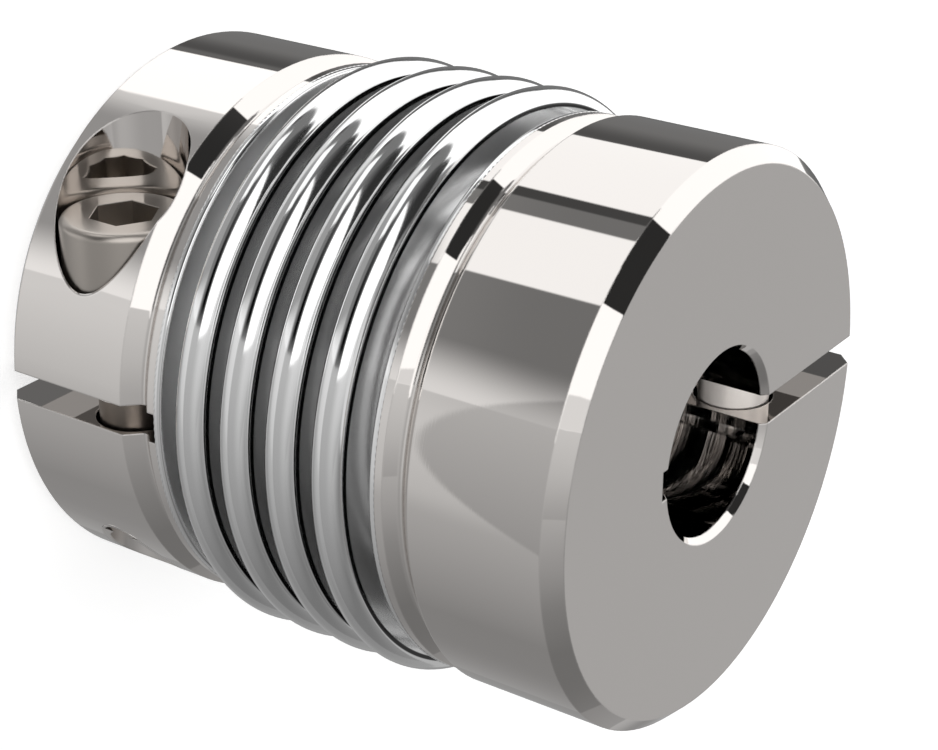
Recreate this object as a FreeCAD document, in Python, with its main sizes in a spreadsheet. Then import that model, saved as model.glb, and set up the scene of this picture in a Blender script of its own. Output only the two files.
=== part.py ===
import FreeCAD, Part
import math
import os

import Sketcher
from FreeCAD import Placement, Rotation, Vector

# Bellows coupling for two shafts, standing on the end face of its lower hub.
# Z is the coupling's axis. The lower hub's slit opens towards +X and the upper hub's towards -X.
# Both clamp screws lie parallel to Y, with their heads on the -Y side.

doc = FreeCAD.newDocument("bellows_coupling")

# Driving sizes, all in millimetres except the count of crests

SIZES = [
    ("hub_dia", 56.0, "outer diameter of a clamping hub"),
    ("clamp_length", 15.3, "full-diameter length of a hub, end chamfer included"),
    ("end_chamfer", 1.5, "45 degree chamfer round the outer end"),
    ("bore_dia", 18.0, "shaft bore"),
    ("bore_chamfer", 0.6, "lead-in chamfer at both ends of the bore"),
    ("groove_depth", 1.45, "radial depth of the groove behind the clamping part"),
    ("groove_floor", 0.5, "width of the groove's flat floor"),
    ("groove_fillet", 0.35, "fillet along both sides of the groove's floor"),
    ("collar_step", 0.4, "radial step from the hub down to the ring that meets the bellows"),
    ("collar_length", 0.9, "length of that ring"),
    ("spigot_chamfer", 0.2, "chamfer round the step that centres the bellows"),
    ("slit_width", 3.0, "saw cut through the wall of a hub"),
    ("notch_depth", 1.3, "depth of the same cut in the wall opposite the slit"),
    ("screw_inset", 8.8, "distance from a hub's outside to its screw's axis"),
    ("screw_height", 9.0, "distance from a hub's end face to its screw's axis"),
    ("seat_depth", 8.8, "distance from the middle of the slit to the seat of the head"),
    ("head_dia", 12.5, "socket head diameter"),
    ("head_height", 8.0, "socket head height"),
    ("head_round", 0.8, "rounding round the top of the head"),
    ("head_gap", 0.4, "gap all round the head in its pocket"),
    ("socket_flats", 6.0, "hexagon socket across flats"),
    ("socket_depth", 4.0, "depth of the hexagon socket"),
    ("shank_step", 0.3, "radial step from the thread down to the plain shank"),
    ("thread_entry", 0.5, "plain length of the shank past the slit"),
    ("neck_fillet", 0.35, "fillet between head and shank"),
    ("shank_gap", 0.4, "gap all round the shank in its through hole"),
    ("thread_dia", 8.0, "thread diameter of screw and tapped hole"),
    ("thread_gap", 0.05, "gap all round the thread in its tapped hole"),
    ("core_dia", 6.8, "hole beyond the screw's tip, at the thread's inner diameter"),
    ("tip_gap", 0.5, "gap between the screw's tip and that narrower hole"),
    ("screw_length", 25.0, "length of the screw under its head"),
    ("tip_chamfer", 0.9, "chamfer at the screw's tip"),
    ("crest_dia", 58.4, "outer diameter of the bellows"),
    ("root_dia", 40.0, "diameter at the bottom of the bellows' valleys"),
    ("crest_round", 1.75, "outer radius of a crest's round"),
    ("root_round", 0.9, "radius of a valley's round"),
    ("sheet", 0.3, "wall of the bellows"),
    ("crests", 4, "number of crests"),
    ("end_flat", 0.6, "flat at the bottom of the first and last valley"),
    ("rim_length", 0.7, "width of the rim that closes each end of the bellows"),
    ("rim_bend", 0.4, "outer radius of the bend from the rim to the end wall"),
]

sizes = doc.addObject("Spreadsheet::Sheet", "sizes")
for row, (alias, number, meaning) in enumerate(SIZES, start=1):
    sizes.set(f"A{row}", alias)
    sizes.set(f"B{row}", f"{number:g}")
    sizes.set(f"C{row}", meaning)
    sizes.setAlias(f"B{row}", alias)

# Stations worked out from the driving sizes: radii, and heights along each piece's own axis.
# A hub counts its heights from its end face, the bellows from its middle, a screw from its seat.

STATIONS = [
    ("hub_radius", "sizes.hub_dia / 2"),
    ("end_edge_radius", "hub_radius - sizes.end_chamfer"),
    ("bore_radius", "sizes.bore_dia / 2"),
    ("bore_edge_radius", "bore_radius + sizes.bore_chamfer"),
    ("groove_radius", "hub_radius - sizes.groove_depth"),
    ("collar_radius", "hub_radius - sizes.collar_step"),
    ("spigot_radius", "collar_radius - sizes.sheet"),
    ("spigot_edge_radius", "spigot_radius - sizes.spigot_chamfer"),
    ("floor_start", "sizes.clamp_length + sizes.groove_depth"),
    ("floor_end", "floor_start + sizes.groove_floor"),
    ("collar_start", "floor_end + collar_radius - groove_radius"),
    ("shoulder", "collar_start + sizes.collar_length"),
    ("hub_length", "shoulder + sizes.rim_length - sizes.sheet"),
    ("spigot_edge", "hub_length - sizes.spigot_chamfer"),
    ("bore_edge", "hub_length - sizes.bore_chamfer"),
    ("half_slit", "sizes.slit_width / 2"),
    ("half_slit_below", "-half_slit"),
    ("notch_reach", "-bore_radius - sizes.notch_depth"),
    ("cut_reach", "hub_radius + sizes.slit_width"),
    ("screw_offset", "hub_radius - sizes.screw_inset"),
    ("pocket_radius", "head_radius + sizes.head_gap"),
    ("through_radius", "shank_radius + sizes.shank_gap"),
    ("tapped_radius", "sizes.thread_dia / 2"),
    ("core_radius", "sizes.core_dia / 2"),
    ("tapped_reach", "sizes.screw_length - sizes.seat_depth + sizes.tip_gap"),
    ("head_radius", "sizes.head_dia / 2"),
    ("head_top_radius", "head_radius - sizes.head_round"),
    ("head_round_start", "sizes.head_height - sizes.head_round"),
    ("thread_radius", "tapped_radius - sizes.thread_gap"),
    ("shank_radius", "thread_radius - sizes.shank_step"),
    ("neck_radius", "shank_radius + sizes.neck_fillet"),
    ("neck_end", "-sizes.neck_fillet"),
    ("tip_radius", "thread_radius - sizes.tip_chamfer"),
    ("shank_end", "-(sizes.seat_depth + half_slit + sizes.thread_entry)"),
    ("thread_start", "shank_end - sizes.shank_step"),
    ("tip_start", "sizes.tip_chamfer - sizes.screw_length"),
    ("tip_end", "-sizes.screw_length"),
    ("socket_corner", "sizes.socket_flats / (2 * cos(30 deg))"),
    ("socket_floor", "sizes.head_height - sizes.socket_depth"),
    ("socket_cone_radius", "sizes.socket_flats / 2"),
    ("socket_cone_tip", "socket_floor - socket_cone_radius * tan(30 deg)"),
    ("pitch", "2 * (sizes.crest_round + sizes.root_round)"),
    ("crest_radius", "sizes.crest_dia / 2"),
    ("crest_inside", "crest_radius - sizes.sheet"),
    ("crest_centre_radius", "crest_radius - sizes.crest_round"),
    ("root_radius", "sizes.root_dia / 2"),
    ("root_inside", "root_radius - sizes.sheet"),
    ("root_centre_radius", "root_radius + sizes.root_round"),
    ("first_crest", "-(sizes.crests - 1) / 2 * pitch"),
    ("wave_start", "first_crest - pitch / 2"),
    ("wave_end", "first_crest + pitch / 2"),
    ("left_flank", "first_crest - sizes.crest_round"),
    ("left_flank_inside", "left_flank + sizes.sheet"),
    ("right_flank", "first_crest + sizes.crest_round"),
    ("right_flank_inside", "right_flank - sizes.sheet"),
    ("end_root", "wave_start - sizes.end_flat"),
    ("end_wall", "end_root - sizes.root_round"),
    ("end_wall_inside", "end_wall - sizes.sheet"),
    ("rim_centre_radius", "collar_radius - sizes.rim_bend"),
    ("rim_round_end", "end_wall - sizes.rim_bend"),
    ("rim_edge", "end_wall - sizes.rim_length"),
    ("half_length", "shoulder - rim_edge"),
    ("total_length", "2 * half_length"),
    ("upper_screw_height", "total_length - sizes.screw_height"),
]

stations = doc.addObject("Spreadsheet::Sheet", "stations")
for row, (alias, formula) in enumerate(STATIONS, start=1):
    stations.set(f"A{row}", alias)
    stations.setAlias(f"B{row}", alias)
for row, (alias, formula) in enumerate(STATIONS, start=1):
    stations.set(f"B{row}", "=" + formula)
doc.recompute()
driving = {alias for alias, _, _ in SIZES}


def cell(alias):
    """Name by which an expression reaches a driving size or a station."""
    return f"sizes.{alias}" if alias in driving else f"stations.{alias}"


def measure(alias):
    """Number that the size or station holds now; an empty alias is zero."""
    if not alias:
        return 0.0
    return float(getattr(sizes if alias in driving else stations, alias))


def new_body(name):
    body = doc.addObject("PartDesign::Body", name)
    body.Label = name
    return body


def origin_part(body, role):
    """Origin plane or axis of a body, such as XZ_Plane or Z_Axis."""
    return [feature for feature in body.Origin.OriginFeatures if feature.Role == role][0]


def new_sketch(body, name, plane, lift=""):
    """Sketch on one of the body's origin planes, lifted along its normal by a size."""
    sketch = body.newObject("Sketcher::SketchObject", name)
    sketch.AttachmentSupport = [(origin_part(body, plane), "")]
    sketch.MapMode = "FlatFace"
    if lift:
        sketch.setExpression("AttachmentOffset.Base.z", lift)
    return sketch


def pin_coordinate(sketch, kind, geometry, end, alias):
    """Holds one coordinate of a point at a station, or on the axis where the station is zero."""
    if not alias:
        axis = -2 if kind == "DistanceX" else -1
        sketch.addConstraint(Sketcher.Constraint("PointOnObject", geometry, end, axis))
        return
    index = sketch.addConstraint(
        Sketcher.Constraint(kind, -1, 1, geometry, end, measure(alias)))
    sketch.setExpression(f"Constraints[{index}]", cell(alias))


def draw_outline(sketch, corners):
    """Closed outline through corners, each given by two stations, ending with a straight side.

    A corner with a third entry is reached by an arc: the entry holds the two stations of the arc's
    centre and its turn, +1 for anticlockwise.
    """
    points = [Vector(measure(corner[0]), measure(corner[1]), 0) for corner in corners]
    ends = []
    for index, corner in enumerate(corners):
        start, stop = points[index - 1], points[index]
        if len(corner) == 2:
            geometry = sketch.addGeometry(Part.LineSegment(start, stop), False)
            ends.append((geometry, 1, 2))
            continue
        centre_x, centre_y, turn = corner[2]
        centre = Vector(measure(centre_x), measure(centre_y), 0)
        radius = (start - centre).Length
        first, last = (start, stop) if turn > 0 else (stop, start)
        angles = [math.atan2(p.y - centre.y, p.x - centre.x) for p in (first, last)]
        if angles[1] < angles[0]:
            angles[1] += 2 * math.pi
        circle = Part.Circle(centre, Vector(0, 0, 1), radius)
        geometry = sketch.addGeometry(Part.ArcOfCircle(circle, angles[0], angles[1]), False)
        ends.append((geometry, 1, 2) if turn > 0 else (geometry, 2, 1))
        pin_coordinate(sketch, "DistanceX", geometry, 3, centre_x)
        pin_coordinate(sketch, "DistanceY", geometry, 3, centre_y)
    for index, corner in enumerate(corners):
        geometry, _, stop_end = ends[index]
        following, start_end, _ = ends[(index + 1) % len(corners)]
        sketch.addConstraint(
            Sketcher.Constraint("Coincident", geometry, stop_end, following, start_end))
        if len(corner) == 2:
            pin_coordinate(sketch, "DistanceX", geometry, stop_end, corner[0])
            pin_coordinate(sketch, "DistanceY", geometry, stop_end, corner[1])
            continue
        # The centre and the start fix the radius, so one coordinate of the arc's end is free.
        reach = points[index] - Vector(measure(corner[2][0]), measure(corner[2][1]), 0)
        if abs(reach.y) > abs(reach.x):
            pin_coordinate(sketch, "DistanceX", geometry, stop_end, corner[0])
        else:
            pin_coordinate(sketch, "DistanceY", geometry, stop_end, corner[1])


def draw_circle(sketch, centre_x, centre_y, radius):
    """Circle whose centre and radius are sizes or stations."""
    spot = Vector(measure(centre_x), measure(centre_y), 0)
    circle = sketch.addGeometry(Part.Circle(spot, Vector(0, 0, 1), measure(radius)), False)
    pin_coordinate(sketch, "DistanceX", circle, 3, centre_x)
    pin_coordinate(sketch, "DistanceY", circle, 3, centre_y)
    index = sketch.addConstraint(Sketcher.Constraint("Radius", circle, measure(radius)))
    sketch.setExpression(f"Constraints[{index}]", cell(radius))


def revolve(body, name, sketch, kind="PartDesign::Revolution"):
    """Full turn of a sketch about the body's Z axis, added or, as a Groove, cut away."""
    feature = body.newObject(kind, name)
    feature.Profile = sketch
    feature.ReferenceAxis = (origin_part(body, "Z_Axis"), [""])
    feature.Angle = 360
    sketch.Visibility = False
    return feature


def cut(body, name, sketch, along_normal, length=""):
    """Pocket on one side of its sketch, through everything or to a length."""
    feature = body.newObject("PartDesign::Pocket", name)
    feature.Profile = sketch
    feature.Reversed = along_normal
    if length:
        feature.setExpression("Length", length)
    else:
        feature.Type = "ThroughAll"
    return feature


# Clamping hubs
# Turned from bar: end chamfer, clamping cylinder, 45 degree groove, narrow collar and a spigot
# that centres the bellows. A saw cut splits one side and nicks the bore's wall opposite, and one
# socket head screw crosses the slit from a round pocket into a tapped hole.


def make_hub(name):
    body = new_body(name)

    profile = new_sketch(body, name + "_profile", "XZ_Plane")
    draw_outline(profile, [
        ("bore_edge_radius", ""),
        ("end_edge_radius", ""),
        ("hub_radius", "end_chamfer"),
        ("hub_radius", "clamp_length"),
        ("groove_radius", "floor_start"),
        ("groove_radius", "floor_end"),
        ("collar_radius", "collar_start"),
        ("collar_radius", "shoulder"),
        ("spigot_radius", "shoulder"),
        ("spigot_radius", "spigot_edge"),
        ("spigot_edge_radius", "hub_length"),
        ("bore_edge_radius", "hub_length"),
        ("bore_radius", "bore_edge"),
        ("bore_radius", "bore_chamfer"),
    ])
    turned = revolve(body, name + "_turned", profile)
    doc.recompute()

    floor_edges = [
        f"Edge{number}"
        for number, edge in enumerate(turned.Shape.Edges, start=1)
        if isinstance(edge.Curve, Part.Circle)
        and abs(edge.Curve.Radius - measure("groove_radius")) < 1e-6
    ]
    groove = body.newObject("PartDesign::Fillet", name + "_groove_fillet")
    groove.Base = (turned, floor_edges)
    groove.setExpression("Radius", "sizes.groove_fillet")

    slit = new_sketch(body, name + "_slit", "XY_Plane")
    draw_outline(slit, [
        ("notch_reach", "half_slit_below"),
        ("cut_reach", "half_slit_below"),
        ("cut_reach", "half_slit"),
        ("notch_reach", "half_slit"),
    ])
    cut(body, name + "_saw_cut", slit, True)

    pocket = new_sketch(body, name + "_head_circle", "XZ_Plane", "sizes.seat_depth")
    draw_circle(pocket, "screw_offset", "screw_height", "pocket_radius")
    cut(body, name + "_head_pocket", pocket, True)
    through = new_sketch(body, name + "_through_circle", "XZ_Plane")
    draw_circle(through, "screw_offset", "screw_height", "through_radius")
    cut(body, name + "_through_hole", through, True)
    tapped = new_sketch(body, name + "_tapped_circle", "XZ_Plane")
    draw_circle(tapped, "screw_offset", "screw_height", "tapped_radius")
    cut(body, name + "_tapped_hole", tapped, False, "stations.tapped_reach")
    core = new_sketch(body, name + "_core_circle", "XZ_Plane")
    draw_circle(core, "screw_offset", "screw_height", "core_radius")
    body.Tip = cut(body, name + "_core_hole", core, False)
    return body


# Bellows
# One sheet-metal tube with round crests and valleys. One wave is turned and repeated along the
# axis; the end valley, end wall and rim are turned once and mirrored to the other end.


def make_bellows(name):
    body = new_body(name)

    wave = new_sketch(body, name + "_wave", "XZ_Plane")
    draw_outline(wave, [
        ("root_radius", "wave_start"),
        ("root_centre_radius", "left_flank", ("root_centre_radius", "wave_start", -1)),
        ("crest_centre_radius", "left_flank"),
        ("crest_centre_radius", "right_flank", ("crest_centre_radius", "first_crest", 1)),
        ("root_centre_radius", "right_flank"),
        ("root_radius", "wave_end", ("root_centre_radius", "wave_end", -1)),
        ("root_inside", "wave_end"),
        ("root_centre_radius", "right_flank_inside", ("root_centre_radius", "wave_end", 1)),
        ("crest_centre_radius", "right_flank_inside"),
        ("crest_centre_radius", "left_flank_inside", ("crest_centre_radius", "first_crest", -1)),
        ("root_centre_radius", "left_flank_inside"),
        ("root_inside", "wave_start", ("root_centre_radius", "wave_start", 1)),
    ])
    first_wave = revolve(body, name + "_first_wave", wave)
    waves = body.newObject("PartDesign::LinearPattern", name + "_waves")
    waves.Originals = [first_wave]
    waves.Direction = (origin_part(body, "Z_Axis"), [""])
    waves.Mode = "Spacing"
    waves.setExpression("Offset", "stations.pitch")
    waves.setExpression("Occurrences", "sizes.crests")
    body.Tip = waves

    end = new_sketch(body, name + "_end", "XZ_Plane")
    draw_outline(end, [
        ("root_inside", "wave_start"),
        ("root_radius", "wave_start"),
        ("root_radius", "end_root"),
        ("root_centre_radius", "end_wall", ("root_centre_radius", "end_root", 1)),
        ("rim_centre_radius", "end_wall"),
        ("collar_radius", "rim_round_end", ("rim_centre_radius", "rim_round_end", -1)),
        ("collar_radius", "rim_edge"),
        ("spigot_radius", "rim_edge"),
        ("spigot_radius", "end_wall_inside"),
        ("root_centre_radius", "end_wall_inside"),
        ("root_inside", "end_root", ("root_centre_radius", "end_root", -1)),
    ])
    end_piece = revolve(body, name + "_end_wall", end)
    both_ends = body.newObject("PartDesign::Mirrored", name + "_both_ends")
    both_ends.Originals = [end_piece]
    both_ends.MirrorPlane = (origin_part(body, "XY_Plane"), [""])
    body.Tip = both_ends
    return body


# Clamp screws
# Socket head cap screws: round-edged head with a hexagon socket, plain shank through the slit
# and a chamfered threaded end. The socket's corners point along the coupling's axis.


def make_screw(name):
    body = new_body(name)

    profile = new_sketch(body, name + "_profile", "XZ_Plane")
    draw_outline(profile, [
        ("", "head_height"),
        ("", "tip_end"),
        ("tip_radius", "tip_end"),
        ("thread_radius", "tip_start"),
        ("thread_radius", "thread_start"),
        ("shank_radius", "shank_end"),
        ("shank_radius", "neck_end"),
        ("neck_radius", "", ("neck_radius", "neck_end", -1)),
        ("head_radius", ""),
        ("head_radius", "head_round_start"),
        ("head_top_radius", "head_height", ("head_top_radius", "head_round_start", 1)),
    ])
    revolve(body, name + "_turned", profile)

    hexagon = new_sketch(body, name + "_hexagon", "XY_Plane", "sizes.head_height")
    corner = measure("socket_corner")
    ring = hexagon.addGeometry(Part.Circle(Vector(), Vector(0, 0, 1), corner), True)
    hexagon.addConstraint(Sketcher.Constraint("Coincident", ring, 3, -1, 1))
    index = hexagon.addConstraint(Sketcher.Constraint("Radius", ring, corner))
    hexagon.setExpression(f"Constraints[{index}]", "stations.socket_corner")
    turns = [math.radians(90 + 60 * step) for step in range(6)]
    points = [Vector(corner * math.cos(turn), corner * math.sin(turn), 0) for turn in turns]
    sides = [
        hexagon.addGeometry(Part.LineSegment(points[step - 1], points[step]), False)
        for step in range(6)
    ]
    for step, side in enumerate(sides):
        following = sides[(step + 1) % 6]
        hexagon.addConstraint(Sketcher.Constraint("Coincident", side, 2, following, 1))
        hexagon.addConstraint(Sketcher.Constraint("PointOnObject", side, 2, ring))
        if step:
            hexagon.addConstraint(Sketcher.Constraint("Equal", sides[0], side))
    hexagon.addConstraint(Sketcher.Constraint("PointOnObject", sides[0], 2, -2))
    cut(body, name + "_socket", hexagon, False, "sizes.socket_depth")

    bottom = new_sketch(body, name + "_socket_cone", "XZ_Plane")
    draw_outline(bottom, [
        ("", "socket_floor"),
        ("", "socket_cone_tip"),
        ("socket_cone_radius", "socket_floor"),
    ])
    body.Tip = revolve(body, name + "_socket_bottom", bottom, "PartDesign::Groove")
    return body


def place(body, turn, x="", y="", z=""):
    """Sets a piece down with a turn, its origin at the given sizes, stations or formulas."""
    body.Placement = Placement(Vector(), turn)
    for axis, formula in (("x", x), ("y", y), ("z", z)):
        if formula:
            body.setExpression(f"Placement.Base.{axis}", formula)


# The upper hub is the lower one turned half round about Y, so its slit lies opposite.

upright = Rotation()
turned_over = Rotation(Vector(0, 1, 0), 180)
head_to_front = Rotation(Vector(1, 0, 0), 90)

lower_hub = make_hub("lower_hub")
upper_hub = make_hub("upper_hub")
place(upper_hub, turned_over, z="stations.total_length")
bellows = make_bellows("bellows")
place(bellows, upright, z="stations.half_length")
lower_screw = make_screw("lower_clamp_screw")
place(lower_screw, head_to_front,
      "stations.screw_offset", "-sizes.seat_depth", "sizes.screw_height")
upper_screw = make_screw("upper_clamp_screw")
place(upper_screw, turned_over.multiply(head_to_front),
      "-stations.screw_offset", "-sizes.seat_depth", "stations.upper_screw_height")
doc.recompute()

pieces = [lower_hub, upper_hub, bellows, lower_screw, upper_screw]
for item in doc.Objects:
    if "Invalid" in item.State or "Error" in item.State:
        raise RuntimeError(f"{item.Label} failed: {item.State}")
os.makedirs("parts", exist_ok=True)
for piece in pieces:
    shape = piece.Shape
    if shape.isNull() or not shape.isValid() or len(shape.Solids) != 1:
        raise RuntimeError(f"{piece.Label} isn't one sound solid")
for piece in pieces:
    piece.Shape.exportStep(f"parts/{piece.Label}.step")
    box = piece.Shape.BoundBox
    print(f"{piece.Label}: {piece.Shape.Volume:.1f} mm3, {len(piece.Shape.Faces)} faces, "
          f"X {box.XMin:.2f} to {box.XMax:.2f}, Y {box.YMin:.2f} to {box.YMax:.2f}, "
          f"Z {box.ZMin:.2f} to {box.ZMax:.2f}")
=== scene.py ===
import math

import bpy
import numpy as np
from mathutils import Matrix, Vector


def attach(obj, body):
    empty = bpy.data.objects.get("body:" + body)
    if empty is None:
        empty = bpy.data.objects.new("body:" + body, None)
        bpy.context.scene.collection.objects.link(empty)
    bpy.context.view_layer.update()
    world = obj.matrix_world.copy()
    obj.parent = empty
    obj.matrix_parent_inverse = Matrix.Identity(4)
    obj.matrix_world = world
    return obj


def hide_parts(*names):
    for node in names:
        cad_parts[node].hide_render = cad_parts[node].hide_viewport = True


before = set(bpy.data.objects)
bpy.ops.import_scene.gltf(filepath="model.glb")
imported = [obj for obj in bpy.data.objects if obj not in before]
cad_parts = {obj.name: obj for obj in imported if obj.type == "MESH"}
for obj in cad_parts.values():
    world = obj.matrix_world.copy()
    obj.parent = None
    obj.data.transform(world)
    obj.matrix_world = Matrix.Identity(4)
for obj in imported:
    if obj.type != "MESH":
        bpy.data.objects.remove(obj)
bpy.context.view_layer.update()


# Clamping hubs
# Two equal hubs turned from bar and polished, with finely faced ends. The upper one stands turned
# half round. A saw cut and one screw clamp each on its shaft; the screw's thread is cut in the hub.

HUB_METAL = (0.752, 0.722, 0.698)
CLAMP_AXES = {"lower_hub": (0.0192, 0.009), "upper_hub": (-0.0192, 0.055)}
BORE_WALL = 0.00905
POCKET_WALL = 0.0067
TAPPED_WALL = 0.0042
TAPPED_FROM = 0.0012
THREADED_TO = 0.0164
THREAD_PITCH = 0.00125


def feed(tree, kind, *inlets, out=0, **settings):
    """One shader node. Its inlets, in order, are numbers, colours or other nodes' outlets."""
    made = tree.nodes.new("ShaderNode" + kind)
    for setting, value in settings.items():
        setattr(made, setting, value)
    for socket, inlet in zip(made.inputs, inlets):
        if isinstance(inlet, bpy.types.NodeSocket):
            tree.links.new(inlet, socket)
        elif inlet is not None:
            socket.default_value = inlet
    return made.outputs[out]


def sums(tree, operation, first, second=None, third=None):
    """One arithmetic step between outlets or numbers."""
    return feed(tree, "Math", first, second, third, operation=operation)


def ramp(tree, value, low, high, to_low=0.0, to_high=1.0):
    """Rises smoothly from one level to the other while value goes from low to high."""
    return feed(tree, "MapRange", value, low, high, to_low, to_high,
                interpolation_type="SMOOTHSTEP")


def within(tree, value, low, high, soft):
    """One between low and high, nought outside, with an edge that is soft wide."""
    return sums(tree, "SUBTRACT",
                ramp(tree, value, low - soft, low + soft),
                ramp(tree, value, high - soft, high + soft))


def new_finish(name, colour):
    """Bare metal with its colour on the shader; returns material, tree and shader."""
    finish = bpy.data.materials.new(name)
    finish.use_nodes = True
    tree = finish.node_tree
    shader = tree.nodes["Principled BSDF"]
    shader.inputs["Metallic"].default_value = 1.0
    shader.inputs["Base Color"].default_value = (*colour, 1.0)
    return finish, tree, shader


def rings(tree, distance, width):
    """Lathe marks: noise that changes only with distance, one mark about every width."""
    return feed(tree, "TexNoise", None, distance, 1.0 / width, 3.0, 0.6, noise_dimensions="1D")


def relief(tree, shader, depth, start=None):
    """Tilts the shaded surface as if it stood proud by depth, in metres."""
    tree.links.new(feed(tree, "Bump", 1.0, 1.0, 0.1, depth, start), shader.inputs["Normal"])


def hub_finish(name, clamp_x, clamp_z):
    """Polished round the outside, faced with fine rings on the ends, drilled in the screw hole."""
    finish, tree, shader = new_finish(name, HUB_METAL)
    place = feed(tree, "TexCoord", out="Object")
    facing = feed(tree, "TexCoord", out="Normal")
    rounded = feed(tree, "Bevel", 0.0002, samples=4)
    axes = tree.nodes.new("ShaderNodeSeparateXYZ")
    tree.links.new(place, axes.inputs[0])
    x, y, z = axes.outputs
    tilt = tree.nodes.new("ShaderNodeSeparateXYZ")
    tree.links.new(facing, tilt.inputs[0])
    radius = sums(tree, "SQRT", sums(tree, "MULTIPLY_ADD", x, x, sums(tree, "MULTIPLY", y, y)))
    off_x = sums(tree, "SUBTRACT", x, clamp_x)
    off_z = sums(tree, "SUBTRACT", z, clamp_z)
    from_screw = sums(tree, "SQRT", sums(tree, "MULTIPLY_ADD", off_x, off_x,
                                         sums(tree, "MULTIPLY", off_z, off_z)))

    # Faced ends: rings round the axis and a satin sheen; elsewhere the marks run round the turning.
    end = ramp(tree, sums(tree, "ABSOLUTE", tilt.outputs[2]), 0.93, 0.97)
    facing_marks = rings(tree, radius, 0.00016)
    turning_marks = rings(tree, z, 0.00011)
    bore = ramp(tree, radius, BORE_WALL + 0.0001, BORE_WALL)
    boring_marks = rings(tree, z, 0.0006)
    drilled = ramp(tree, from_screw, POCKET_WALL + 0.0002, POCKET_WALL)
    drilling_marks = rings(tree, y, 0.0002)

    # Thread in the screw hole: one groove that climbs a pitch for every turn about the hole's axis.
    turn = sums(tree, "DIVIDE", sums(tree, "ARCTAN2", off_z, off_x), 2 * math.pi)
    climb = sums(tree, "FRACT", sums(tree, "ADD", turn, sums(tree, "DIVIDE", y, THREAD_PITCH)))
    groove = sums(tree, "ABSOLUTE", sums(tree, "SUBTRACT", climb, 0.5))
    tapped = sums(tree, "MULTIPLY", ramp(tree, from_screw, TAPPED_WALL + 0.0001, TAPPED_WALL),
                  ramp(tree, y, TAPPED_FROM, TAPPED_FROM + 0.0004))
    threaded = sums(tree, "MULTIPLY", tapped,
                    ramp(tree, y, THREADED_TO + 0.0002, THREADED_TO - 0.0002))

    marks = sums(tree, "MULTIPLY", turning_marks, 0.00000012)
    for mask, surface, depth in ((end, facing_marks, 0.0000012),
                                 (bore, boring_marks, 0.000002),
                                 (drilled, drilling_marks, 0.0000003),
                                 (threaded, groove, 0.0009)):
        deep = sums(tree, "MULTIPLY", surface, depth)
        marks = feed(tree, "Mix", mask, None, marks, deep)
    relief(tree, shader, marks, rounded)

    haze = feed(tree, "TexNoise", place, None, 160.0, 4.0, 0.6)
    polish = sums(tree, "MULTIPLY_ADD", haze, 0.014, 0.003)
    for mask, level, spread in ((end, 0.12, 0.08), (bore, 0.0, 0.0), (drilled, 0.0, 0.04),
                                (tapped, 0.25, 0.1)):
        rough = sums(tree, "MULTIPLY_ADD", haze, spread, level)
        polish = feed(tree, "Mix", mask, None, polish, rough)
    tree.links.new(polish, shader.inputs["Roughness"])
    return finish


for hub, (clamp_x, clamp_z) in CLAMP_AXES.items():
    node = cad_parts[hub]
    node.data.materials.clear()
    node.data.materials.append(hub_finish(hub + "_polished", clamp_x, clamp_z))


# Bellows
# One seamless stainless tube, pressed out into round crests and left bright from the forming.
# The flanks between the crests stay satin, and the ends sit over the hubs' spigots, welded on.

BELLOWS_STEEL = (0.86, 0.86, 0.86)
MIDDLE = 0.032
SHEET = 0.0003
PITCH = 0.0053
CREST_TURN = (0.02745, 0.0016)
ROOT_TURN = (0.0209, 0.00105)
END_FLAT = 0.0006
RIM_TURN = (0.0272, 0.00025)
RIM_END = 0.0128
FLANK_RIM = 0.0272
# Radii of the painted shade line along the foot of each crest.
PAINTED_SHADE_LINE = (0.02748, 0.02788)
END_WALL = 0.0121
END_FADE = (0.0200, 0.0215)
AROUND = 224


def bend(turn, height, first, last, steps, side):
    """Arc of the sheet's middle line: centre plus radius times cosine and sine of the angle.

    Each row holds distance from the axis, height, and the sheet's outward direction there.
    """
    radius_out, radius = turn
    angle = np.radians(np.linspace(first, last, steps + 1))
    cosine, sine = np.cos(angle), np.sin(angle)
    return np.stack([radius_out + radius * cosine, height + radius * sine,
                     side * cosine, side * sine], 1)


def straight(start, stop, steps):
    """Evenly spaced rows between two rows that face the same way."""
    share = np.linspace(0.0, 1.0, steps + 2)[1:-1, None]
    return start + (stop - start) * share


def grid_piece(name, points, wrapped=False, poles=()):
    """Object from rows of points, each row a closed ring.

    Wrapped rows join last to first; otherwise the two poles close the first and last row.
    """
    rows, steps = points.shape[:2]
    links = np.arange(rows if wrapped else rows - 1)
    row, step = np.meshgrid(links, np.arange(steps), indexing="ij")
    after, beside = (row + 1) % rows, (step + 1) % steps
    quads = np.stack([row * steps + step, row * steps + beside,
                      after * steps + beside, after * steps + step], 2).reshape(-1, 4)
    corners = points.reshape(-1, 3)
    caps = []
    if poles:
        corners = np.concatenate([corners, poles])
        ring = np.arange(steps)
        beyond = (ring + 1) % steps
        last = (rows - 1) * steps
        caps = [np.stack([np.full(steps, rows * steps), beyond, ring], 1),
                np.stack([np.full(steps, rows * steps + 1), last + ring, last + beyond], 1)]
    surface = bpy.data.meshes.new(name)
    surface.from_pydata(corners, [], quads.tolist() + [tri for cap in caps for tri in cap.tolist()])
    surface.shade_smooth()
    surface.set_sharp_from_angle(angle=math.radians(35))
    piece = bpy.data.objects.new(name, surface)
    bpy.context.scene.collection.objects.link(piece)
    return piece


def turned(radius, height, around):
    """Rings about Z: x and y are the radius times cosine and sine of the turn."""
    angle = np.linspace(0.0, 2 * math.pi, around, endpoint=False)
    return np.stack([radius[:, None] * np.cos(angle), radius[:, None] * np.sin(angle),
                     np.broadcast_to(height[:, None], (len(height), around))], 2)


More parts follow.
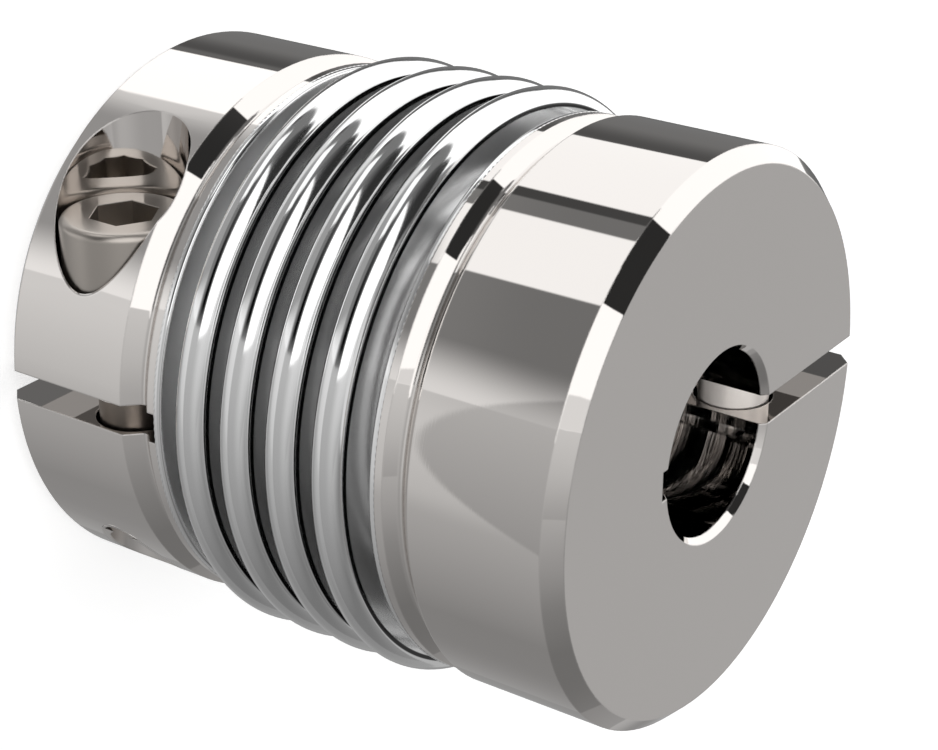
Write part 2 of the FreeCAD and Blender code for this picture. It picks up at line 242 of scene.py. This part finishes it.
path = []
for crest in (-1.5, -0.5, 0.5, 1.5):
    path.append(bend(ROOT_TURN, (crest - 0.5) * PITCH, 180, 90, 6, -1))
    path.append(bend(CREST_TURN, crest * PITCH, -90, 90, 24, 1))
    path.append(bend(ROOT_TURN, (crest + 0.5) * PITCH, 270, 180, 6, -1))
end_valley = 2 * PITCH + END_FLAT
path.append(bend(ROOT_TURN, end_valley, 180, 90, 6, -1))
path.append(bend(RIM_TURN, end_valley + ROOT_TURN[1] + RIM_TURN[1], -90, 0, 6, 1))
path.append(np.array([[RIM_TURN[0] + RIM_TURN[1], RIM_END, 1.0, 0.0]]))
lower_end = [rows[::-1] * (1, -1, 1, -1) for rows in path[:-4:-1]]
path = lower_end + path
joined = [path[0]]
for rows in path[1:]:
    joined.append(straight(joined[-1][-1], rows[0], 2))
    joined.append(rows)
line = np.concatenate(joined)
line = line[np.append(True, np.linalg.norm(np.diff(line[:, :2], axis=0), axis=1) > 1e-7)]
outside = line[:, :2] + line[:, 2:] * SHEET / 2
inside = line[:, :2] - line[:, 2:] * SHEET / 2
section = np.concatenate([outside, inside[::-1]])
bellows = grid_piece("bellows_sheet", turned(section[:, 0], section[:, 1] + MIDDLE, AROUND), True)

finish, tree, shader = new_finish("bellows_bright", BELLOWS_STEEL)
place = feed(tree, "TexCoord", out="Object")
axes = tree.nodes.new("ShaderNodeSeparateXYZ")
tree.links.new(place, axes.inputs[0])
x, y, z = axes.outputs
radius = sums(tree, "SQRT", sums(tree, "MULTIPLY_ADD", x, x, sums(tree, "MULTIPLY", y, y)))
from_middle = sums(tree, "ABSOLUTE", sums(tree, "SUBTRACT", z, MIDDLE))
waves = ramp(tree, from_middle, END_WALL + 0.0002, END_WALL + 0.0001)
flank = sums(tree, "MULTIPLY", ramp(tree, radius, FLANK_RIM + 0.0004, FLANK_RIM), waves)

# The crests are bright with a faint orange-peel; the flanks stay satin, the lower end wall less.
peel = feed(tree, "TexNoise", place, None, 1500.0, 2.0, 0.5)
relief(tree, shader, sums(tree, "MULTIPLY", peel, 0.0000012))
cloud = feed(tree, "TexNoise", place, None, 120.0, 4.0, 0.6)
polish = sums(tree, "MULTIPLY_ADD", cloud, 0.07, 0.06)
matt = ramp(tree, z, *END_FADE, 0.32, 0.15)
tree.links.new(feed(tree, "Mix", flank, None, polish, matt), shader.inputs["Roughness"])
satin = sums(tree, "MULTIPLY", flank, ramp(tree, z, *END_FADE, 0.4, 1.0))
tree.links.new(feed(tree, "Mix", satin, None, 1.0, 0.91), shader.inputs["Metallic"])

# A dark line is painted along the foot of each crest: painted shade where the valleys' reflections
# go black.
painted_shade = sums(tree, "MULTIPLY", within(tree, radius, *PAINTED_SHADE_LINE, 0.00006), waves)
colour = feed(tree, "Mix", flank, None, None, None, None, None,
              (*BELLOWS_STEEL, 1.0), (0.96, 0.96, 0.96, 1.0), out=2, data_type="RGBA")
# Painted shade: near black at the foot of each crest.
colour = feed(tree, "Mix", sums(tree, "MULTIPLY", painted_shade, 0.97), None, None, None, None, None,
              colour, (0.01, 0.01, 0.01, 1.0), out=2, data_type="RGBA")
tree.links.new(colour, shader.inputs["Base Color"])
bellows.data.materials.append(finish)
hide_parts("bellows")
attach(bellows, "root")


# Weld seams
# A fine pulsed weld joins each rim of the bellows to its hub's collar, flush but for its ripples.

SEAM_RADIUS = 0.0276
SEAM_HALF_WIDTH = 0.00008
SEAM_HEIGHT = 0.00005
PULSES = 250

turn = np.linspace(0.0, 2 * math.pi, PULSES * 4, endpoint=False)
swell = 0.65 + 0.35 * np.cos(PULSES * turn)
lap = np.linspace(0.0, 2 * math.pi, 8, endpoint=False)
for name, level in (("lower_weld_seam", 0.0192), ("upper_weld_seam", 0.0448)):
    out = SEAM_RADIUS + SEAM_HEIGHT * np.cos(lap)[:, None] * swell
    points = np.stack([out * np.cos(turn), out * np.sin(turn),
                       level + SEAM_HALF_WIDTH * np.sin(lap)[:, None] * swell], 2)
    seam = grid_piece(name, points, wrapped=True)
    seam.data.materials.append(finish)
    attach(seam, "root")


# Clamp screws
# Socket head cap screws of hardened steel with a satin, warm grey skin: rounded head, hexagon
# socket, plain shank through the slit and a rolled right-hand thread that ends in a chamfer and
# holds in the hub. The upper screw's shank is painted pale and partly matt, as painted light, so
# that the slit lamp lights it bright.

SCREW_STEEL = (0.52, 0.48, 0.44)
# Painted light: the pale colour of the upper screw's shank, and how much of it each shank takes.
PAINTED_LIGHT_STEEL = (0.90, 0.88, 0.86)
PAINTED_LIGHT_SHARE = {"lower_clamp_screw": 0.0, "upper_clamp_screw": 1.0}
SCREW_PLACES = {"lower_clamp_screw": (0.0192, -0.0088, 0.009, 1),
                "upper_clamp_screw": (-0.0192, -0.0088, 0.055, -1)}
FLATS = 0.006
SOCKET_FLOOR = 0.004
HEAD_TOP = 0.008
HEAD_RADIUS = 0.00625
HEAD_ROUND = 0.0008
HEAD_FACE_RING = 0.0045
EDGE_BREAK = 0.00006
SHANK_RADIUS = 0.00365
NECK_FILLET = 0.00035
THREAD_TOP = -0.0111
THREAD_RADIUS = 0.00395
THREAD_DEPTH = 0.00068
TIP = -0.025
TIP_CHAMFER = 0.0009
SCREW_AROUND = 144

angle = np.linspace(0.0, 2 * math.pi, SCREW_AROUND, endpoint=False)
to_flat = np.mod(angle + math.pi / 6, math.pi / 3) - math.pi / 6
hexagon = FLATS / 2 / np.cos(to_flat)
ring = np.ones(SCREW_AROUND)
cone = FLATS / 2 * math.tan(math.radians(30))
rows = [(ring * FLATS / 2 * share, SOCKET_FLOOR - cone * (1 - share)) for share in (0.1, 0.5, 1.0)]
rows += [(hexagon, SOCKET_FLOOR), (hexagon, SOCKET_FLOOR + 0.00002)]
rows += [(hexagon, HEAD_TOP - EDGE_BREAK), (hexagon + EDGE_BREAK, HEAD_TOP)]
rows += [(ring * HEAD_FACE_RING, HEAD_TOP), (ring * (HEAD_RADIUS - HEAD_ROUND), HEAD_TOP)]
for turn in np.radians(np.arange(80, -1, -10)):
    rows.append((ring * (HEAD_RADIUS - HEAD_ROUND + HEAD_ROUND * math.cos(turn)),
                 HEAD_TOP - HEAD_ROUND + HEAD_ROUND * math.sin(turn)))
rows += [(ring * HEAD_RADIUS, 0.0001), (ring * (HEAD_RADIUS - 0.0001), 0.0)]
for turn in np.radians(np.arange(90, 181, 15)):
    rows.append((ring * (SHANK_RADIUS + NECK_FILLET + NECK_FILLET * math.cos(turn)),
                 NECK_FILLET * (math.sin(turn) - 1)))
rows.append((ring * SHANK_RADIUS, THREAD_TOP))
for level in np.linspace(THREAD_TOP, TIP, 230)[1:]:
    wave = 0.5 - 0.5 * np.cos(2 * math.pi * level / THREAD_PITCH - angle)
    fade = min(1.0, (THREAD_TOP - level) / 0.001)
    cut = SHANK_RADIUS + fade * (THREAD_RADIUS - THREAD_DEPTH * wave - SHANK_RADIUS)
    rows.append((np.minimum(cut, THREAD_RADIUS - TIP_CHAMFER + level - TIP), level))
around = np.stack([radius for radius, level in rows])
along = np.stack([ring * level for radius, level in rows])
on_shank = (along < -NECK_FILLET / 2) & (along > THREAD_TOP - 0.0001)

finish, tree, shader = new_finish("screw_satin", SCREW_STEEL)
place = feed(tree, "TexCoord", out="Object")
grain = feed(tree, "TexNoise", place, None, 2500.0, 3.0, 0.6)
relief(tree, shader, sums(tree, "MULTIPLY", grain, 0.0000002))
cloud = feed(tree, "TexNoise", place, None, 400.0, 4.0, 0.6)
tree.links.new(sums(tree, "MULTIPLY_ADD", cloud, 0.06, 0.30), shader.inputs["Roughness"])
# Painted light: this attribute makes the upper shank pale and partly matt for the slit lamp.
painted_light_fac = feed(tree, "Attribute", out="Fac", attribute_name="painted_light")
painted_light = feed(tree, "Mix", painted_light_fac, None, None, None, None, None,
              (*SCREW_STEEL, 1.0), (*PAINTED_LIGHT_STEEL, 1.0), out=2, data_type="RGBA")
tree.links.new(painted_light, shader.inputs["Base Color"])
tree.links.new(feed(tree, "Mix", painted_light_fac, None, 1.0, 0.4), shader.inputs["Metallic"])
for name, (over, front, up, side) in SCREW_PLACES.items():
    points = np.stack([over + side * around * np.cos(angle), front - along,
                       up + side * around * np.sin(angle)], 2)
    ends = [(over, front - TIP, up), (over, front - SOCKET_FLOOR + cone, up)]
    screw = grid_piece(name + "_turned", points[::-1], poles=ends)
    painted_light = screw.data.attributes.new("painted_light", "FLOAT", "POINT")
    painted_light_values = np.concatenate([on_shank[::-1].ravel() * PAINTED_LIGHT_SHARE[name], (0.0, 0.0)]).astype(np.float32)
    painted_light.data.foreach_set("value", painted_light_values)
    screw.data.materials.append(finish)
    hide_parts(name)
    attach(screw, "root")


# Floor
# Plain white paper that runs on past the picture's edges. It only takes the coupling's shadow:
# the polished metal mirrors the tent all round it instead.

FLOOR_REACH = 3.0
FLOOR_HEIGHT = -0.00002
PAPER_WHITE = (0.8, 0.8, 0.8, 1.0)
PAPER_GLOW = 0.62

sweep = np.linspace(0.0, 2 * math.pi, 96, endpoint=False)
rim = np.stack([FLOOR_REACH * np.cos(sweep), FLOOR_REACH * np.sin(sweep),
                np.full(len(sweep), FLOOR_HEIGHT)], 1)
paper = bpy.data.meshes.new("floor")
paper.from_pydata(rim.tolist(), [], [list(range(len(rim)))])
floor = bpy.data.objects.new("floor", paper)
bpy.context.scene.collection.objects.link(floor)
floor.visible_glossy = False
finish = bpy.data.materials.new("white_paper")
finish.use_nodes = True
tree = finish.node_tree
tree.nodes.clear()
matt = feed(tree, "BsdfDiffuse", PAPER_WHITE)
seen = feed(tree, "LightPath", out="Is Camera Ray")
glow = feed(tree, "Emission", (1.0, 1.0, 1.0, 1.0), sums(tree, "MULTIPLY", seen, PAPER_GLOW))
end = tree.nodes.new("ShaderNodeOutputMaterial")
tree.links.new(feed(tree, "AddShader", matt, glow), end.inputs[0])
paper.materials.append(finish)


# Light tent
# Pale cloth all round the coupling, lit from outside, with white soft boxes and the dark gaps
# between them. Bearings are in degrees about the coupling, counted from -60, and heights above it.

CLOTH = (
    # bearing from, to, height from, to, edge, brightness
    (-240, -118, -8, 90, 6.0, 0.48),
    (-130, -48.5, -10, 54, 0.8, 1.36),
    (-20.5, 46, 8, 69, 0.4, 1.36),
    (-49, -44, -33, -20, 0.5, 0.07),
    (-36, -6.7, -33, -8, 0.5, 1.20),
    (-192, -108, 50, 90, 2.0, 0.0),
)
SHADE = (
    # bearing from, to, brightness added before, after
    (-147, -138, 0.42, 0.15),
    (-138, -126, 0.0, 0.04),
    (-108, -91, 0.0, -0.095),
    (-90, -87, 0.0, 0.06),
    (-160, -168, 0.0, -0.10),
)

tent = bpy.data.worlds.new("light_tent")
bpy.context.scene.world = tent
tent.use_nodes = True
tree = tent.node_tree
tree.nodes.clear()
axes = tree.nodes.new("ShaderNodeSeparateXYZ")
toward = tree.nodes.new("ShaderNodeVectorRotate")
toward.rotation_type = "Z_AXIS"
toward.inputs["Angle"].default_value = math.radians(60)
tree.links.new(feed(tree, "TexCoord", out="Generated"), toward.inputs["Vector"])
tree.links.new(toward.outputs[0], axes.inputs[0])
x, y, z = axes.outputs
bearing = sums(tree, "DEGREES", sums(tree, "ARCTAN2", y, x))
height = sums(tree, "DEGREES", sums(tree, "ARCSINE", z))

# The long wall on the right fades away from the camera and has one faint upright seam high up.
# The floor before it is lighter.
wall = feed(tree, "MapRange", bearing, 42.0, 140.0, 0.55, 0.20)
upper = sums(tree, "MULTIPLY", ramp(tree, height, 0.0, 40.0), ramp(tree, bearing, 130.0, 45.0))
wall = sums(tree, "MULTIPLY_ADD", upper, 0.20, wall)
seam = sums(tree, "SUBTRACT", ramp(tree, bearing, 89.2, 89.8, 0.0, 0.075),
            ramp(tree, bearing, 68.0, 89.0, 0.0, 0.04))
wall = sums(tree, "MULTIPLY_ADD", ramp(tree, height, 38.0, 46.0), seam, wall)
floor = feed(tree, "MapRange", bearing, 48.0, 135.0, 0.80, 0.36)
floor = sums(tree, "MULTIPLY", floor, ramp(tree, bearing, 79.0, 91.0, 1.0, 0.85))
floor = sums(tree, "MULTIPLY_ADD", ramp(tree, height, -38.0, -29.0),
             ramp(tree, bearing, 42.0, 57.0, -0.16, -0.03), floor)
below = sums(tree, "MULTIPLY_ADD", x, 0.3128, sums(tree, "MULTIPLY_ADD", y, 0.5418, z))
wall = feed(tree, "Mix", ramp(tree, below, 0.003, -0.003), None, wall, floor)
wall = sums(tree, "MULTIPLY_ADD", ramp(tree, bearing, 150.0, 185.0), 0.09, wall)

# Left of it, a grey wall stands between the soft boxes. Light runs up from the floor's corner and
# is weaker on the wall than on the floor.
gap = ramp(tree, height, -32.5, -36.0, 0.20, 0.33)
spill = sums(tree, "MULTIPLY", ramp(tree, height, -33.5, -37.0), ramp(tree, bearing, -33.0, -51.0))
gap = sums(tree, "MULTIPLY_ADD", spill, 0.45, gap)
rise = feed(tree, "MapRange", bearing, 20.7, 42.7, 0.0, 1.0)
rise = sums(tree, "MULTIPLY_ADD", ramp(tree, height, -29.0, -32.5), 0.15, rise)
corner = sums(tree, "MULTIPLY", ramp(tree, rise, 0.0, 1.1), ramp(tree, height, -20.0, -28.0))
gap = sums(tree, "MULTIPLY_ADD", corner, 0.70, gap)
sunk = sums(tree, "MULTIPLY", ramp(tree, below, -0.003, 0.003), ramp(tree, bearing, 26.0, 31.0))
sunk = sums(tree, "MULTIPLY", sunk, ramp(tree, height, -38.0, -33.0, 0.0, 0.3))
gap = sums(tree, "MULTIPLY", gap, sums(tree, "SUBTRACT", 1.0, sunk))
level = feed(tree, "Mix", ramp(tree, bearing, 41.7, 42.3), None, gap, wall)

# Below the left box and on round the far side, the cloth lies in soft steps of shade.
shade = sums(tree, "MULTIPLY", within(tree, bearing, -240.0, -82.0, 1.0),
             ramp(tree, height, -8.0, -14.0))
dim = 0.0
for west, east, before, after in SHADE:
    dim = sums(tree, "ADD", dim, ramp(tree, bearing, west, east, before, after))
level = feed(tree, "Mix", shade, None, level, dim)
above = ramp(tree, bearing, -24.0, 4.0, 0.32, 0.75)
level = feed(tree, "Mix", ramp(tree, height, 69.0, 73.0), None, level, above)

for west, east, low, high, soft, bright in CLOTH:
    patch = sums(tree, "MULTIPLY", within(tree, bearing, west, east, soft),
                 within(tree, height, low, high, soft))
    level = feed(tree, "Mix", patch, None, level, bright)

# The right box has its upper right corner cut off; a paler cloth shows there.
cut = sums(tree, "MULTIPLY_ADD", height, 2.6, bearing)
patch = sums(tree, "MULTIPLY", within(tree, height, 50.0, 69.0, 0.4),
             sums(tree, "SUBTRACT", ramp(tree, cut, 185.9, 187.5),
                  ramp(tree, bearing, 45.6, 46.4)))
level = feed(tree, "Mix", patch, None, level, 0.90)

# The lowest box leans over to the left and glows most along its foot.
lean = sums(tree, "MULTIPLY_ADD", sums(tree, "ADD", height, 30.0), 0.4, bearing)
patch = sums(tree, "MULTIPLY", within(tree, height, -46.0, -10.0, 0.5),
             sums(tree, "SUBTRACT", ramp(tree, lean, -88.4, -87.6),
                  ramp(tree, bearing, -49.5, -48.5)))
level = feed(tree, "Mix", patch, None, level, ramp(tree, height, -32.0, -38.0, 1.23, 1.40))

# Dark cloth hangs between the two large boxes, darkest at the top, with one slanted side.
slant = sums(tree, "MULTIPLY_ADD", height, 0.93, bearing)
hang = sums(tree, "MULTIPLY", ramp(tree, slant, -20.4, -19.6),
            within(tree, bearing, -90.0, -20.5, 0.4))
hang = sums(tree, "MULTIPLY", hang, within(tree, height, -5.0, 68.0, 1.0))
level = feed(tree, "Mix", hang, None, level, ramp(tree, height, 5.0, 42.0, 0.15, 0.03))

# A dark wedge below the right box, deepest at its right end.
wedge = sums(tree, "MULTIPLY", within(tree, bearing, -14.0, 38.0, 3.0),
             within(tree, height, -15.0, 3.0, 4.0))
level = feed(tree, "Mix", wedge, None, level, ramp(tree, bearing, -14.0, 26.0, 0.08, 0.0))

cloth = feed(tree, "Background", (1.0, 1.0, 1.0, 1.0), level)
paper_white = feed(tree, "Background", (1.0, 1.0, 1.0, 1.0), 1.0)
end = tree.nodes.new("ShaderNodeOutputWorld")
seen = feed(tree, "LightPath", out="Is Camera Ray")
tree.links.new(feed(tree, "MixShader", seen, cloth, paper_white), end.inputs[0])


# Lamp
# A narrow lamp over the upper hub shines along its slit onto the screw's shank. Polished metal
# doesn't mirror it, so it lights nothing else that can be seen.

LAMP_SPOT = Vector((0.135, 0.0, 0.255))
LAMP_AIM = Vector((-0.0175, 0.0, 0.0575))

narrow = bpy.data.lights.new("slit_lamp", "SPOT")
narrow.energy = 2.6
narrow.spot_size = math.radians(6)
narrow.shadow_soft_size = 0.004
lamp = bpy.data.objects.new("slit_lamp", narrow)
bpy.context.scene.collection.objects.link(lamp)
lamp.visible_glossy = False
lamp.matrix_world = (Matrix.Translation(LAMP_SPOT)
                     @ (LAMP_SPOT - LAMP_AIM).to_track_quat("Z", "Y").to_matrix().to_4x4())


# Camera
# Looks down on the standing coupling and is rolled, so that it seems to lie on its side with the
# upper hub at the right.

CAMERA_SPOT = Vector((0.17080, -0.09594, 0.15469))
PICTURE_RIGHT = Vector((-0.5723, -0.0025, 0.8200))
PICTURE_UP = Vector((-0.3431, -0.9076, -0.2422))

lens = bpy.data.cameras.new("camera")
lens.sensor_width = 36.0
lens.lens = 89.17
lens.clip_start = 0.01
camera = bpy.data.objects.new("camera", lens)
bpy.context.scene.collection.objects.link(camera)
backward = PICTURE_RIGHT.cross(PICTURE_UP).normalized()
upward = backward.cross(PICTURE_RIGHT).normalized()
turned = Matrix((upward.cross(backward), upward, backward)).transposed()
camera.matrix_world = Matrix.Translation(CAMERA_SPOT) @ turned.to_4x4()
bpy.context.scene.camera = camera
bpy.context.scene.view_settings.view_transform = "Standard"
